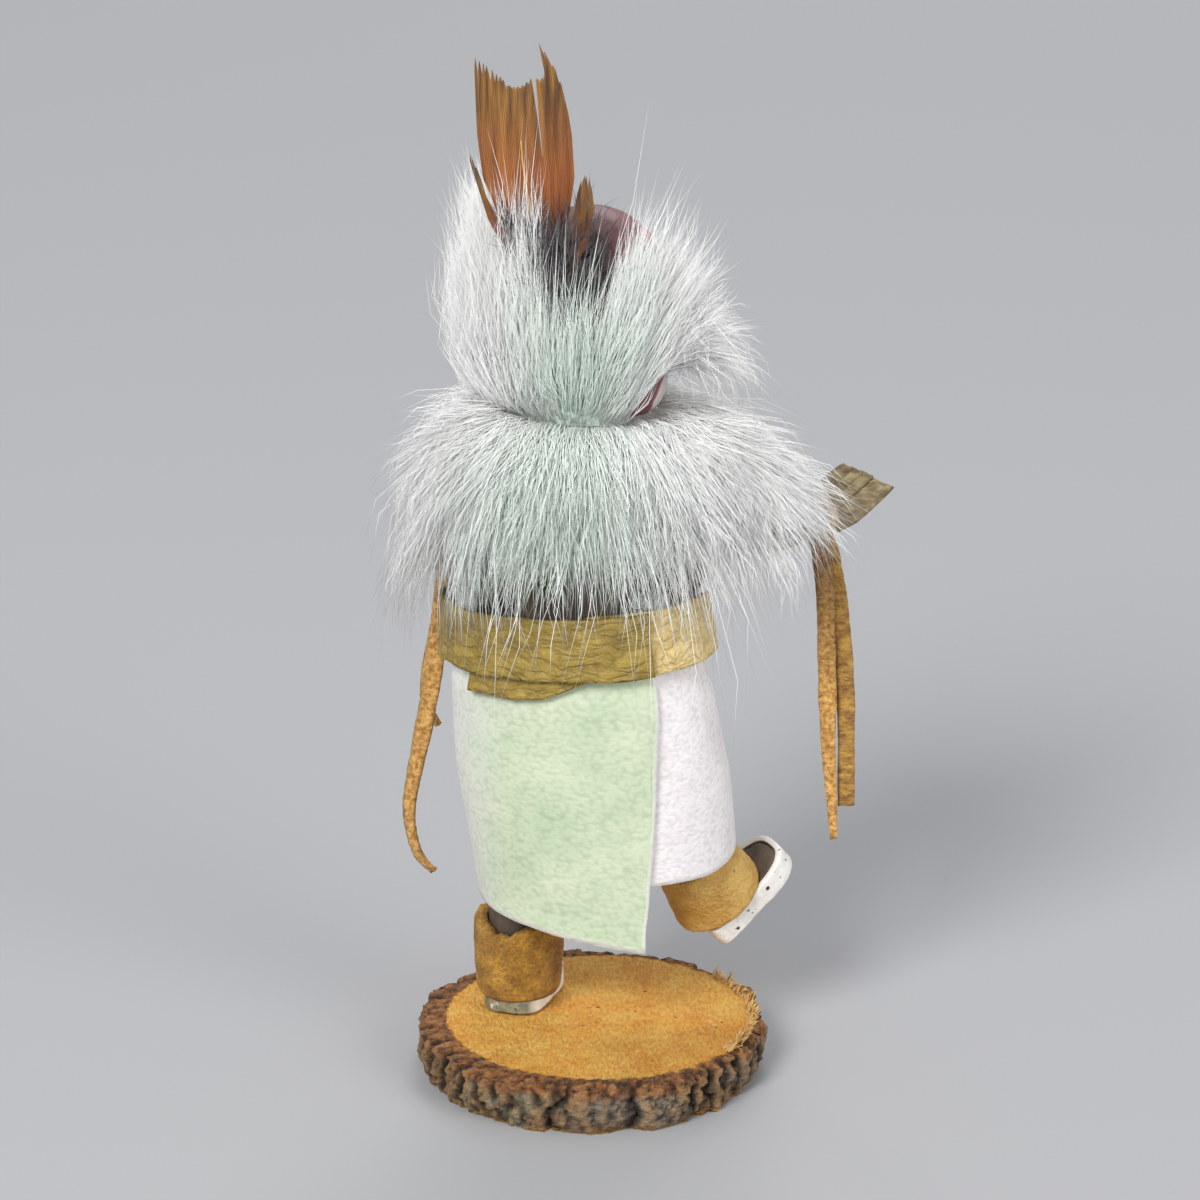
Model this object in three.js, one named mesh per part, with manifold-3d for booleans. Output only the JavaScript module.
// A carved and painted wooden dancer on a slice of branch, dressed in fur, leather and feathers.
// Millimetres, +Z up. The origin is the centre of the base's underside. The dancer's back is
// towards -Y, its right hand towards +X, and its body is turned a little to the right.

import * as THREE from 'three';
import { mergeVertices } from 'three/addons/utils/BufferGeometryUtils.js';
import Module from 'manifold-3d';

const wasm = await Module();
wasm.setup();

// Driving dimensions
const GAP = 0.4; // between pieces that touch
const BASE_THICK = 9.5;
const BARK_RADIUS = 34;
const BARK_SWELL = 1.8; // how far the fattest bark chunk stands out
const BARK_GROOVE = 1.9; // depth of the cracks between chunks
const BARK_CHUNKS = 22;
const WOOD_RADIUS = 30;
const WOOD_SHIFT = 1.4; // the sawn face sits off centre, so the bark is thicker on the left
const BODY_TURN = THREE.MathUtils.degToRad(22); // how far the dancer looks to its right
const HIP_WIDE = 21.2;
const HIP_DEEP = 14.4;
const HEAD_RADIUS = 14.2;
const HEAD_BOTTOM = 133;
const HEAD_TOP = 170;
const NECK_RADIUS = 9.5;
const FOOT_LENGTH = 21.8;
const FOOT_WIDE = 12.4;
const FOOT_HIGH = 4.6;
const HEEL_BEHIND = 7.6; // from the heel's back to the middle of the ankle
const ANKLE_RADIUS = 6;
const KILT_THICK = 0.7;
const KILT_SPARE = 1.25; // how far the outer end of the wrap stands off the inner end
const KILT_OVERLAP = THREE.MathUtils.degToRad(34);
const KILT_TOP = 93.5;
const BELT_THICK = 1;
const BELT_START = THREE.MathUtils.degToRad(-64); // the low inner end, at the back left
const BELT_OVERLAP = THREE.MathUtils.degToRad(84);
const CUFF_THICK = 1.9;
const CUFF_HIGH = 19.2;
const RAISED_CUFF_THICK = 1.4;
const RAISED_CUFF_HIGH = 10.4;
const STANDING_SHIN = 34;
const RAISED_SHIN_LONG = 30;
const FEATHER_THICK = 0.6;
const THONG_WIDE = 3.4;
const THONG_THICK = 0.9;

// Where the limbs go
const STANDING_ANKLE = [-14.4, 7, BASE_THICK + GAP];
const STANDING_TOES = new THREE.Vector3(0.3, 0.95, 0);
const RAISED_SOLE = [28.3, 10, 28.4]; // under the ankle of the lifted foot
const RAISED_SHIN = new THREE.Vector3(-0.534, -0.415, 0.735); // from that sole up the shin
const RAISED_TOES = new THREE.Vector3(0.68, 0.308, 0.668);
const RIGHT_WRIST = [42.6, 7.5, 109.6];
const LEFT_WRIST = [-28.2, 17.5, 100.6];

const RIGHT = new THREE.Vector3(Math.cos(BODY_TURN), -Math.sin(BODY_TURN), 0);
const FRONT = new THREE.Vector3(Math.sin(BODY_TURN), Math.cos(BODY_TURN), 0);
const UP = new THREE.Vector3(0, 0, 1);
const RIGHT_WORLD = new THREE.Vector3(1, 0, 0);
const AWAY_WORLD = new THREE.Vector3(0, 1, 0);

const TAU = 2 * Math.PI;
const mix = THREE.MathUtils.lerp;
const smooth = THREE.MathUtils.smoothstep;
const chance = (i) => {
  const x = Math.sin(i * 12.9898 + 4.1) * 43758.5453;
  return x - Math.floor(x);
};
const vec = (p) => (p.isVector3 ? p : new THREE.Vector3(...p));

// Turns a value that is given at some heights into a smooth function of the height.
function along(heights, values) {
  return (z) => {
    if (z <= heights[0]) return values[0];
    const i = heights.findIndex((h) => h >= z);
    if (i < 0) return values[values.length - 1];
    const t = (z - heights[i - 1]) / (heights[i] - heights[i - 1]);
    return mix(values[i - 1], values[i], t);
  };
}

function geometryOf(points, faces) {
  const geometry = new THREE.BufferGeometry();
  const flat = points.flatMap((p) => [p.x, p.y, p.z]);
  geometry.setAttribute('position', new THREE.Float32BufferAttribute(flat, 3));
  geometry.setIndex(faces.flat());
  return mergeVertices(geometry, 1e-3);
}

// A closed mesh as a solid, turned the right way round.
function solid(geometry) {
  const bare = geometry.clone();
  bare.deleteAttribute('normal');
  bare.deleteAttribute('uv');
  const merged = mergeVertices(bare, 1e-3);
  const p = merged.attributes.position;
  const tri = Array.from(merged.index.array);
  const corner = (i) => new THREE.Vector3().fromBufferAttribute(p, tri[i]);
  let volume = 0;
  for (let i = 0; i < tri.length; i += 3) {
    volume += corner(i).dot(corner(i + 1).cross(corner(i + 2)));
  }
  if (volume < 0) tri.reverse();
  const vertProperties = new Float32Array(p.array);
  const triVerts = new Uint32Array(tri);
  return new wasm.Manifold(new wasm.Mesh({ numProp: 3, vertProperties, triVerts }));
}

// Keeps the biggest body, so that a cut leaves no crumbs.
function biggest(body) {
  return body.decompose().reduce((a, b) => (b.volume() > a.volume() ? b : a));
}

const join = (bodies) => bodies.reduce((a, b) => a.add(b));

// Rings of points in a row, skinned, with a fan to a middle point at each end.
function loft(rings, firstMiddle, lastMiddle) {
  const points = rings.flat();
  const n = rings[0].length;
  const faces = [];
  for (let k = 0; k + 1 < rings.length; k++) {
    for (let i = 0; i < n; i++) {
      const j = (i + 1) % n;
      const a = k * n + i;
      const b = k * n + j;
      faces.push([a, b, b + n], [a, b + n, a + n]);
    }
  }
  const middle = (ring) => ring.reduce((a, p) => a.add(p), new THREE.Vector3()).divideScalar(n);
  const first = points.push(firstMiddle ?? middle(rings[0])) - 1;
  const last = points.push(lastMiddle ?? middle(rings[rings.length - 1])) - 1;
  const top = (rings.length - 1) * n;
  for (let i = 0; i < n; i++) {
    const j = (i + 1) % n;
    faces.push([first, j, i], [last, top + i, top + j]);
  }
  return solid(geometryOf(points, faces));
}

// A bent sheet with a thickness, from an outer and an inner surface over (u, v).
function slab(outer, inner, nu, nv) {
  const points = [];
  const at = {};
  for (const [side, surface] of [['o', outer], ['i', inner]]) {
    for (let i = 0; i <= nu; i++) {
      for (let j = 0; j <= nv; j++) {
        at[`${side}${i},${j}`] = points.push(surface(i / nu, j / nv)) - 1;
      }
    }
  }
  const faces = [];
  const quad = (a, b, c, d) => faces.push([a, b, c], [a, c, d]);
  for (let i = 0; i < nu; i++) {
    for (let j = 0; j < nv; j++) {
      const o = [[i, j], [i + 1, j], [i + 1, j + 1], [i, j + 1]].map((k) => at[`o${k}`]);
      const n = [[i, j + 1], [i + 1, j + 1], [i + 1, j], [i, j]].map((k) => at[`i${k}`]);
      quad(...o);
      quad(...n);
    }
    quad(at[`i${i},0`], at[`i${i + 1},0`], at[`o${i + 1},0`], at[`o${i},0`]);
    quad(at[`o${i},${nv}`], at[`o${i + 1},${nv}`], at[`i${i + 1},${nv}`], at[`i${i},${nv}`]);
  }
  for (let j = 0; j < nv; j++) {
    quad(at[`o0,${j}`], at[`o0,${j + 1}`], at[`i0,${j + 1}`], at[`i0,${j}`]);
    quad(at[`i${nu},${j}`], at[`i${nu},${j + 1}`], at[`o${nu},${j + 1}`], at[`o${nu},${j}`]);
  }
  return solid(geometryOf(points, faces));
}

// One point of an oval: power 2 is an ellipse, more is squarer.
function ovalPoint(centre, right, front, wide, deep, angle, power = 2) {
  const c = Math.cos(angle);
  const s = Math.sin(angle);
  const r = (Math.abs(c) ** power + Math.abs(s) ** power) ** (-1 / power);
  return vec(centre).clone().addScaledVector(right, wide * r * c).addScaledVector(front, deep * r * s);
}

function oval(centre, right, front, wide, deep, count, power) {
  return Array.from({ length: count }, (_, i) =>
    ovalPoint(centre, right, front, wide, deep, (i / count) * TAU, power));
}

// A limb through stations [place, half width, half depth], its rings square to the path.
function limb(stations, across, count = 12, power = 2) {
  const places = stations.map((s) => vec(s[0]));
  const rings = stations.map(([, wide, deep = wide], i) => {
    const before = places[Math.max(i - 1, 0)];
    const after = places[Math.min(i + 1, places.length - 1)];
    const way = after.clone().sub(before).normalize();
    const front = way.clone().cross(across).normalize();
    const right = front.clone().cross(way).normalize();
    return oval(places[i], right, front, wide, deep, count, power);
  });
  return loft(rings);
}

// The slice of branch: a bark edge in chunks round a flat sawn face.
function barkEdge(angle) {
  const turns = ((angle / TAU) * BARK_CHUNKS + BARK_CHUNKS) % BARK_CHUNKS;
  const chunk = Math.floor(turns);
  const inChunk = turns - chunk;
  const toCrack = Math.min(inChunk, 1 - inChunk);
  const crack = 1 - smooth(toCrack, 0, 0.22);
  return BARK_RADIUS + BARK_SWELL * chance(chunk) - BARK_GROOVE * crack * chance(chunk + 50);
}

function woodBase() {
  const count = 88;
  const edge = (z, cut) => Array.from({ length: count }, (_, i) => {
    const angle = (i / count) * TAU;
    const r = barkEdge(angle) - cut;
    return new THREE.Vector3(r * Math.cos(angle), r * Math.sin(angle), z);
  });
  const face = (z, radius) => oval([WOOD_SHIFT, 0, z], RIGHT_WORLD, AWAY_WORLD, radius, radius, count);
  return loft([
    edge(0, 1.6),
    edge(1.8, 0.1),
    edge(BASE_THICK - 2.6, 0.2),
    edge(BASE_THICK - 0.9, 1.9),
    face(BASE_THICK - 0.7, WOOD_RADIUS + 0.5),
    face(BASE_THICK, WOOD_RADIUS),
  ]);
}

// The middle of the body leans: further right lower down.
const bodyX = along([36, 50, 65, 80, 95, 115, 133], [3.4, 1.8, -0.3, -1.9, -3, -2, -0.6]);
const bodyY = along([36, 60, 80], [4.2, 2.6, 1]);
const bodyAt = (z) => [bodyX(z), bodyY(z), z];

// Trunk from the hips to the neck, then the mask, all grown by a clearance when asked.
function trunk(grow) {
  const rows = [
    [63, 16, 11], [67, 19.5, 13], [76, HIP_WIDE, HIP_DEEP], [94, HIP_WIDE, HIP_DEEP],
    [103, 19.6, 13.6], [114, 20.8, 14.2], [121, 19.8, 13.2], [126, 16, 11.6],
    [129, NECK_RADIUS + 1, NECK_RADIUS + 0.5], [HEAD_BOTTOM + 3, NECK_RADIUS, NECK_RADIUS],
  ];
  return loft(rows.map(([z, wide, deep]) =>
    oval(bodyAt(z), RIGHT, FRONT, wide + grow, deep + grow, 24, 2.2)));
}

function head(grow) {
  const high = HEAD_TOP - HEAD_BOTTOM;
  const rows = [[0, 0.9], [0.07, 0.98], [0.3, 1.01], [0.6, 1], [0.76, 0.93], [0.88, 0.74],
    [0.96, 0.44], [1, 0.14]];
  return loft(rows.map(([t, size]) => {
    const z = HEAD_BOTTOM + high * t + (t < 0.5 ? -grow : grow);
    const radius = HEAD_RADIUS * size + grow;
    return oval([-0.5, 1, z], RIGHT, FRONT, radius, radius, 24, 2.25);
  }));
}

// A moccasin and the shin above it. Here the ankle is over the origin and the toes point to +X.
function footAndShin(shinLong, grow, upTo) {
  const outline = (z, inset, power) => {
    const back = -HEEL_BEHIND + inset - grow;
    const tip = FOOT_LENGTH - HEEL_BEHIND - inset + grow;
    return Array.from({ length: 16 }, (_, i) => {
      const angle = (i / 16) * TAU;
      const p = ovalPoint([0, 0, z], RIGHT_WORLD, AWAY_WORLD, 1, 1, angle, power);
      const toe = p.x > 0 ? 1 - 0.08 * p.x * p.x : 1;
      p.x = mix(back, tip, (p.x + 1) / 2);
      p.y *= (FOOT_WIDE / 2 - inset + grow) * toe;
      return p;
    });
  };
  const foot = loft([
    outline(-grow, 0.4, 3.4),
    outline(0.8, 0, 3.4),
    outline(FOOT_HIGH - 0.6 + grow, 0.1, 3.4),
    outline(FOOT_HIGH + grow, 0.8, 3),
  ]);
  const r = ANKLE_RADIUS + grow;
  const shin = limb([[[0, 0, 1], r], [[0, 0, shinLong * 0.6], r], [[0, 0, shinLong], upTo + grow]],
    RIGHT_WORLD, 14);
  return foot.add(shin);
}

// Puts a shape made round the origin at a place, with its X and Z along two directions.
function placed(body, place, xWay, zWay) {
  const z = zWay.clone().normalize();
  const y = z.clone().cross(xWay).normalize();
  const x = y.clone().cross(z);
  const m = new THREE.Matrix4().makeBasis(x, y, z).setPosition(vec(place));
  return body.transform(m.elements);
}

function legs(grow) {
  const standing = placed(footAndShin(STANDING_SHIN, grow, ANKLE_RADIUS), STANDING_ANKLE,
    STANDING_TOES, UP);
  const standingThigh = limb([
    [[-14.4, 7, BASE_THICK + STANDING_SHIN - 4], ANKLE_RADIUS + grow],
    [[-13, 4, 58], 8 + grow],
    [[-11.5, 2, 74], 10 + grow],
  ], RIGHT, 14);
  const raised = placed(footAndShin(RAISED_SHIN_LONG, grow, ANKLE_RADIUS + 0.6), RAISED_SOLE,
    RAISED_TOES, RAISED_SHIN);
  const knee = vec(RAISED_SOLE).clone().addScaledVector(RAISED_SHIN, RAISED_SHIN_LONG + 1);
  const raisedThigh = limb([
    [knee.clone().addScaledVector(RAISED_SHIN, -4), ANKLE_RADIUS + 0.6 + grow],
    [knee.clone().addScaledVector(RAISED_SHIN, 3), 8.4 + grow],
    [[8, 0.5, 62], 9.4 + grow],
    [[8.5, 0.5, 74], 10 + grow],
  ], RIGHT, 14);
  return join([standing, standingThigh, raised, raisedThigh]);
}

// A flat hand: four fingers side by side, each its own length from the wrist.
function hand(wrist, forward, side, lengths, fingerWide, grow) {
  const way = forward.clone().normalize();
  const across = side.clone().addScaledVector(way, -side.dot(way)).normalize();
  const fingers = lengths.map((long, i) => {
    const off = ((lengths.length - 1) / 2 - i) * fingerWide;
    const spread = (t) => off * Math.min(1, 0.6 + t / 10);
    const at = (t) => vec(wrist).clone().addScaledVector(way, t).addScaledVector(across, spread(t));
    const wide = fingerWide / 2 + 0.2 + grow;
    return limb([
      [at(-1 - grow), wide, 1.8 + grow],
      [at(long * 0.55), wide, 2.3 + grow],
      [at(long - 0.8 + grow), wide - 0.1, 1.9 + grow],
      [at(long + grow), wide - 0.6, 1.1 + grow],
    ], across, 8, 2.8);
  });
  return join(fingers);
}

function arms(grow) {
  const right = limb([
    [[12, -4.5, 118], 6.4 + grow],
    [[21, -6.5, 114.5], 6.6 + grow],
    [[32, -4, 110], 5.2 + grow],
    [[37.5, 2, 109], 4.4 + grow],
    [RIGHT_WRIST, 3.1 + grow],
    [[44.6, 8.4, 110.6], 3 + grow],
  ], UP, 12);
  const rightHand = hand([43.6, 8, 108.6], new THREE.Vector3(0.72, 0.3, 0.56),
    new THREE.Vector3(-0.6, 0.1, 0.77), [9.6, 11, 12, 13.4], 2.5, grow);
  const left = limb([
    [[-12, 6, 118], 6.4 + grow],
    [[-20.5, 8, 114], 6.4 + grow],
    [[-26, 9, 106.5], 5.2 + grow],
    [[-27.6, 13.5, 102], 4.4 + grow],
    [LEFT_WRIST, 3.5 + grow],
    [[-28.4, 20, 100.8], 3.2 + grow],
  ], RIGHT, 12);
  const leftHand = hand(LEFT_WRIST, new THREE.Vector3(0.02, 1, 0.08),
    new THREE.Vector3(0, 0, 1), [8.2, 8.8, 8.6, 7.8], 2.2, grow);
  return join([right, rightHand, left, leftHand]);
}

function figure(grow = 0) {
  return join([trunk(grow), head(grow), legs(grow), arms(grow)]);
}

// White leather wrapped round the hips, its free outer edge hanging at the back.
const kiltWide = along([36, 60, 78, 86, 95], [24, 25.1, 24.3, 22.5, HIP_WIDE + GAP + 0.1]);
const kiltDeep = along([36, 60, 78, 86, 95], [17, 17, 16.2, 15.3, HIP_DEEP + GAP + 0.1]);
const kiltTurn = along([36, 62, 84], [0.08, 0.2, BODY_TURN]);
const kiltHem = along([0, 0.12, 0.25, 0.5, 0.66, 0.8, 1], [28.4, 32.2, 35, 39.4, 44, 45, 44.4]);
const kiltStart = along([33, 82], [-1.33, -1]); // where the free outer edge hangs, straight down

function wrapPoint(u, z, start, overlap, wide, deep, stand) {
  const angle = start - u * (TAU + overlap);
  const turn = kiltTurn(z);
  const right = new THREE.Vector3(Math.cos(turn), -Math.sin(turn), 0);
  const front = new THREE.Vector3(Math.sin(turn), Math.cos(turn), 0);
  return ovalPoint(bodyAt(z), right, front, wide(z) + stand, deep(z) + stand, angle + turn, 2.1);
}

// The top of the kilt stands up and out at one corner, right and forward, where the belt dips.
const cornerShare = (angle) => Math.max(0, Math.cos(angle - 0.35)) ** 8;

function kilt() {
  const surface = (out) => (u, v) => {
    const corner = u > 0.5 ? cornerShare(kiltStart(KILT_TOP) - u * (TAU + KILT_OVERLAP)) : 0;
    const z = mix(kiltHem(u), KILT_TOP + 7 * corner, v);
    const flare = 3.4 * corner * smooth(z, 94.5, 99);
    const stand = KILT_SPARE * (1 - u) + out * KILT_THICK + flare;
    return wrapPoint(u, z, kiltStart(z), KILT_OVERLAP, kiltWide, kiltDeep, stand);
  };
  return slab(surface(1), surface(0), 42, 5);
}

// Tan leather round the waist. It starts low at the back left and ends on top of itself.
const beltClear = KILT_SPARE + KILT_THICK + 1.7 * GAP;
const beltWide = (z) => kiltWide(z) + beltClear;
const beltDeep = (z) => kiltDeep(z) + beltClear;

function belt() {
  const layer = BELT_THICK + GAP;
  const surface = (out) => (u, v) => {
    const angle = BELT_START - u * (TAU + BELT_OVERLAP);
    const toRight = Math.cos(angle);
    const low = smooth(u, 0.86, 0.93);
    const bottom = 85 + 1.7 * toRight - 4 * low;
    const top = 97 + 2 * toRight - 3.2 * Math.max(0, Math.sin(angle)) - 4.2 * cornerShare(angle);
    const z = mix(bottom, top - 4 * low, v);
    const stand = layer * (1 - smooth(u, 0.55, 0.84)) + out * BELT_THICK;
    return wrapPoint(u, z, BELT_START, BELT_OVERLAP, beltWide, beltDeep, stand);
  };
  return slab(surface(1), surface(0), 42, 3);
}

// A leather tube round a shin, its upper edge notched at the back.
function cuff(from, high, thick, notch) {
  const count = 24;
  const inner = ANKLE_RADIUS + GAP;
  const ring = (radius, t) => Array.from({ length: count }, (_, i) => {
    const angle = (i / count) * TAU;
    const dip = notch * Math.exp(-(((angle / TAU - 0.5) * 9) ** 2));
    const swell = 0.35 * Math.cos(angle * 2 + t * 3);
    return new THREE.Vector3((radius + swell * (radius > inner ? 1 : 0)) * Math.cos(angle),
      radius * Math.sin(angle), from + high * t - (t > 0.9 ? dip : 0));
  });
  const outer = inner + thick;
  const tube = loft([ring(outer, 0), ring(outer + 0.25, 0.3), ring(outer, 0.7), ring(outer - 0.1, 1)]);
  const bore = loft([ring(inner, -0.2), ring(inner, 1.2)]);
  return tube.subtract(bore);
}

// Fur masses: rings by direction round an upright axis, each direction with its own reach.
function furMass(rows, count, firstMiddle, lastMiddle) {
  const rings = rows.map(({ left, right, back, front, high }) =>
    Array.from({ length: count }, (_, i) => {
      const angle = (i / count) * TAU;
      const c = Math.cos(angle);
      const s = Math.sin(angle);
      const across = c < 0 ? left : right;
      const deep = s < 0 ? back : front;
      return ovalPoint([-0.5, 0, high(angle)], RIGHT_WORLD, AWAY_WORLD, across, deep, angle, 2.15);
    }));
  return loft(rings, firstMiddle, lastMiddle);
}

// The height of a rim that differs to the left, right and back.
const rim = (left, right, back, front) => (angle) => {
  const c = Math.cos(angle);
  const s = Math.sin(angle);
  return (c < 0 ? left : right) * c * c + (s < 0 ? back : front) * s * s;
};

// Hair ends in tufts, so every other point of a rim reaches further.
const tufted = (high, by) => (angle) => high(angle) + by * Math.cos(angle * 15) * chance(Math.round(angle * 8));

function shoulderFur(body, waist) {
  const level = (z) => () => z;
  const edge = rim(96, 93.5, 103.5, 104);
  const part = (t) => (angle) => mix(118, edge(angle), t);
  const mass = furMass([
    { left: 14.5, right: 14.5, back: 14.5, front: 14, high: level(HEAD_BOTTOM - 2 * GAP) },
    { left: 25, right: 21, back: 19, front: 17, high: level(131) },
    { left: 32.5, right: 33, back: 22.5, front: 19.5, high: level(126) },
    { left: 36, right: 36.5, back: 24.5, front: 21, high: level(118) },
    { left: 38, right: 37, back: 25, front: 21.5, high: part(0.4) },
    { left: 36.5, right: 36.5, back: 24.5, front: 20.5, high: part(0.75) },
    { left: 31.5, right: 33.5, back: 22, front: 18, high: tufted(part(1), -1.8) },
  ], 30, null, new THREE.Vector3(0, 0, 106));
  return biggest(mass.subtract(body).subtract(waist));
}

function headFur(body) {
  const level = (z) => () => z;
  const edge = rim(176, 161, 163, 158);
  const part = (t) => (angle) => mix(HEAD_BOTTOM + GAP, edge(angle), t);
  const mass = furMass([
    { left: 17, right: 18, back: 17.5, front: 16, high: level(HEAD_BOTTOM + GAP) },
    { left: 25, right: 29.5, back: 21, front: 17, high: part(0.13) },
    { left: 26.4, right: 29.6, back: 21.5, front: 18, high: part(0.35) },
    { left: 27, right: 26, back: 21, front: 18, high: part(0.6) },
    { left: 25, right: 20.5, back: 19, front: 16, high: part(0.85) },
    { left: 22, right: 16.4, back: 17, front: 15, high: tufted(part(1), 1.6) },
  ], 32, null, new THREE.Vector3(0, 1, 112));
  const face = placed(solid(new THREE.BoxGeometry(46, 60, 60)), [0, 1, 155], RIGHT, UP)
    .transform(new THREE.Matrix4().makeTranslation(...FRONT.clone().multiplyScalar(35.5)).elements);
  const slot = new THREE.BoxGeometry(23.6, 3.4, 30).translate(-10.7, -13.7, HEAD_BOTTOM + 42.2);
  return biggest(mass.subtract(face).subtract(solid(slot)).subtract(body));
}

// A feather is a thin plate with its trimmed outline; the outline lies in X and Z.
function feather(outline, y, lean) {
  const shape = new THREE.Shape(outline.map(([x, z]) => new THREE.Vector2(x, z)));
  const plate = new THREE.ExtrudeGeometry(shape, { depth: FEATHER_THICK, bevelEnabled: false, steps: 1 });
  const root = outline[0][1];
  const m = new THREE.Matrix4().makeTranslation(0, y, root)
    .multiply(new THREE.Matrix4().makeRotationX(Math.PI / 2 + lean))
    .multiply(new THREE.Matrix4().makeTranslation(0, -root, 0));
  return solid(plate).transform(m.elements);
}

const CROWN_OUTLINE = [
  [-9.6, 160.5], [-13.4, 166], [-16.8, 171.5], [-19.4, 178], [-20.4, 186], [-21, 199.2],
  [-18.2, 197.6], [-15.2, 194.6], [-12.6, 194.8], [-9.9, 196.2], [-9.9, 189], [-10.4, 182.4],
  [-9.5, 189], [-9.2, 196.2], [-8.2, 197.4], [-7.4, 202], [-5.4, 197.6], [-3.6, 186],
  [-3, 178.5], [-4, 170.5], [-6.4, 165],
];
const LEFT_OUTLINE = [[-13.6, 161.5], [-18.6, 171], [-21.8, 181.5], [-21.2, 183], [-18.8, 175], [-15.5, 168.5]];
const RIGHT_OUTLINE = [[-3.6, 161.5], [-3.8, 169], [-2, 178.2], [-0.4, 179], [0.6, 173], [-0.6, 166.5]];

// A strip of leather that hangs along a curve.
function strip(points, side) {
  const curve = new THREE.CatmullRomCurve3(points.map(vec));
  const steps = 11;
  const rings = Array.from({ length: steps + 1 }, (_, i) => {
    const t = i / steps;
    const way = curve.getTangentAt(t);
    const across = side.clone().addScaledVector(way, -side.dot(way)).normalize();
    const out = way.clone().cross(across);
    const at = curve.getPointAt(t);
    const wide = (THONG_WIDE / 2) * (1 - 0.45 * smooth(t, 0.75, 1));
    return [[1, 1], [-1, 1], [-1, -1], [1, -1]].map(([a, b]) =>
      at.clone().addScaledVector(across, a * wide).addScaledVector(out, (b * THONG_THICK) / 2));
  });
  return loft(rings);
}

// The turns of a thong round a wrist, with the forearm's way through them.
function wristTie(wrist, way, radius) {
  const path = new THREE.LatheGeometry([
    new THREE.Vector2(radius, -THONG_WIDE / 2),
    new THREE.Vector2(radius + THONG_THICK, -THONG_WIDE / 2),
    new THREE.Vector2(radius + THONG_THICK + 0.3, 0),
    new THREE.Vector2(radius + THONG_THICK, THONG_WIDE / 2),
    new THREE.Vector2(radius, THONG_WIDE / 2),
    new THREE.Vector2(radius, -THONG_WIDE / 2),
  ], 14);
  path.rotateX(Math.PI / 2);
  return placed(solid(path), wrist, UP.clone().cross(way), way);
}

const RIGHT_TAIL_LONG = [[42.2, 5.8, 106], [43.4, 5.8, 101], [44.4, 6.4, 92], [45, 7, 78],
  [45.6, 7.2, 62], [46.4, 7.2, 51], [46.9, 7.2, 43.6]];
const RIGHT_TAIL_SHORT = [[44, 7, 106.2], [45.6, 7.4, 100], [47.3, 8, 90], [48.6, 8.4, 76],
  [49.1, 8.6, 62], [49.3, 8.6, 50]];
const LEFT_TAIL_LONG = [[-27.8, 16.4, 97.3], [-28.8, 15.6, 91], [-30, 15, 80], [-32.6, 14, 65],
  [-35.6, 13, 50], [-35.4, 12.4, 43], [-33.8, 12, 38], [-31, 12, 35]];
const LEFT_TAIL_SHORT = [[-27.6, 18.6, 97.3], [-28.8, 19.4, 91], [-30, 20, 82], [-32.2, 20.2, 72],
  [-32.4, 20, 66.5], [-30.2, 19.8, 62.5]];

function thong(wrist, way, radius, tails, side, body) {
  const pieces = [wristTie(wrist, way, radius), ...tails.map((t) => strip(t, side))];
  return biggest(join(pieces).subtract(body));
}

// Everything together
const WAIST_CLEAR = 2 * BELT_THICK + 2 * GAP; // the belt is double at the back
const grown = figure(GAP * 1.4);
const doll = new THREE.Group();

function add(name, body, colour, roughness) {
  const mesh = body.getMesh();
  const geometry = new THREE.BufferGeometry();
  geometry.setAttribute('position', new THREE.BufferAttribute(new Float32Array(mesh.vertProperties), 3));
  geometry.setIndex(Array.from(mesh.triVerts));
  const material = new THREE.MeshStandardMaterial({ color: colour, roughness, metalness: 0 });
  const piece = new THREE.Mesh(geometry, material);
  piece.name = name;
  doll.add(piece);
}

const waist = loft([70, 80, 88, 102].map((z) =>
  oval(bodyAt(z), RIGHT, FRONT, beltWide(z) + WAIST_CLEAR, beltDeep(z) + WAIST_CLEAR, 24, 2.1)));
const thongs = {
  right: thong(RIGHT_WRIST, new THREE.Vector3(0.72, 0.6, 0.35), 3.1 + GAP + 0.5,
    [RIGHT_TAIL_LONG, RIGHT_TAIL_SHORT], RIGHT_WORLD, grown),
  left: thong(LEFT_WRIST, new THREE.Vector3(-0.1, 1, -0.1), 3.5 + GAP + 0.4,
    [LEFT_TAIL_LONG, LEFT_TAIL_SHORT], RIGHT_WORLD, grown),
};

add('wood_base', woodBase(), 0xd9a44a, 0.85);
add('carved_figure', figure(), 0x4f4438, 0.75);
add('kilt', kilt(), 0xc5d8c4, 0.7);
add('belt', belt(), 0x9a8040, 0.6);
add('shoulder_fur', shoulderFur(grown, waist), 0xf2f1ee, 0.9);
add('head_fur', headFur(grown), 0xf2f1ee, 0.9);
add('standing_leg_cuff', placed(cuff(FOOT_HIGH + GAP, CUFF_HIGH, CUFF_THICK, 3), STANDING_ANKLE, STANDING_TOES, UP),
  0xa9772a, 0.95);
add('raised_leg_cuff', placed(cuff(FOOT_HIGH + GAP, RAISED_CUFF_HIGH, RAISED_CUFF_THICK, 0), RAISED_SOLE, RAISED_TOES,
  RAISED_SHIN), 0xb98a3e, 0.7);
add('crown_feather', feather(CROWN_OUTLINE, -12.6, 0), 0xb3702a, 0.6);
add('left_side_feather', feather(LEFT_OUTLINE, -14, 0), 0xa5602a, 0.6);
add('right_side_feather', feather(RIGHT_OUTLINE, -14.4, 0), 0xa5602a, 0.6);
add('right_wrist_thong', thongs.right, 0xc39a52, 0.8);
add('left_wrist_thong', thongs.left, 0xc39a52, 0.8);

export default doll;
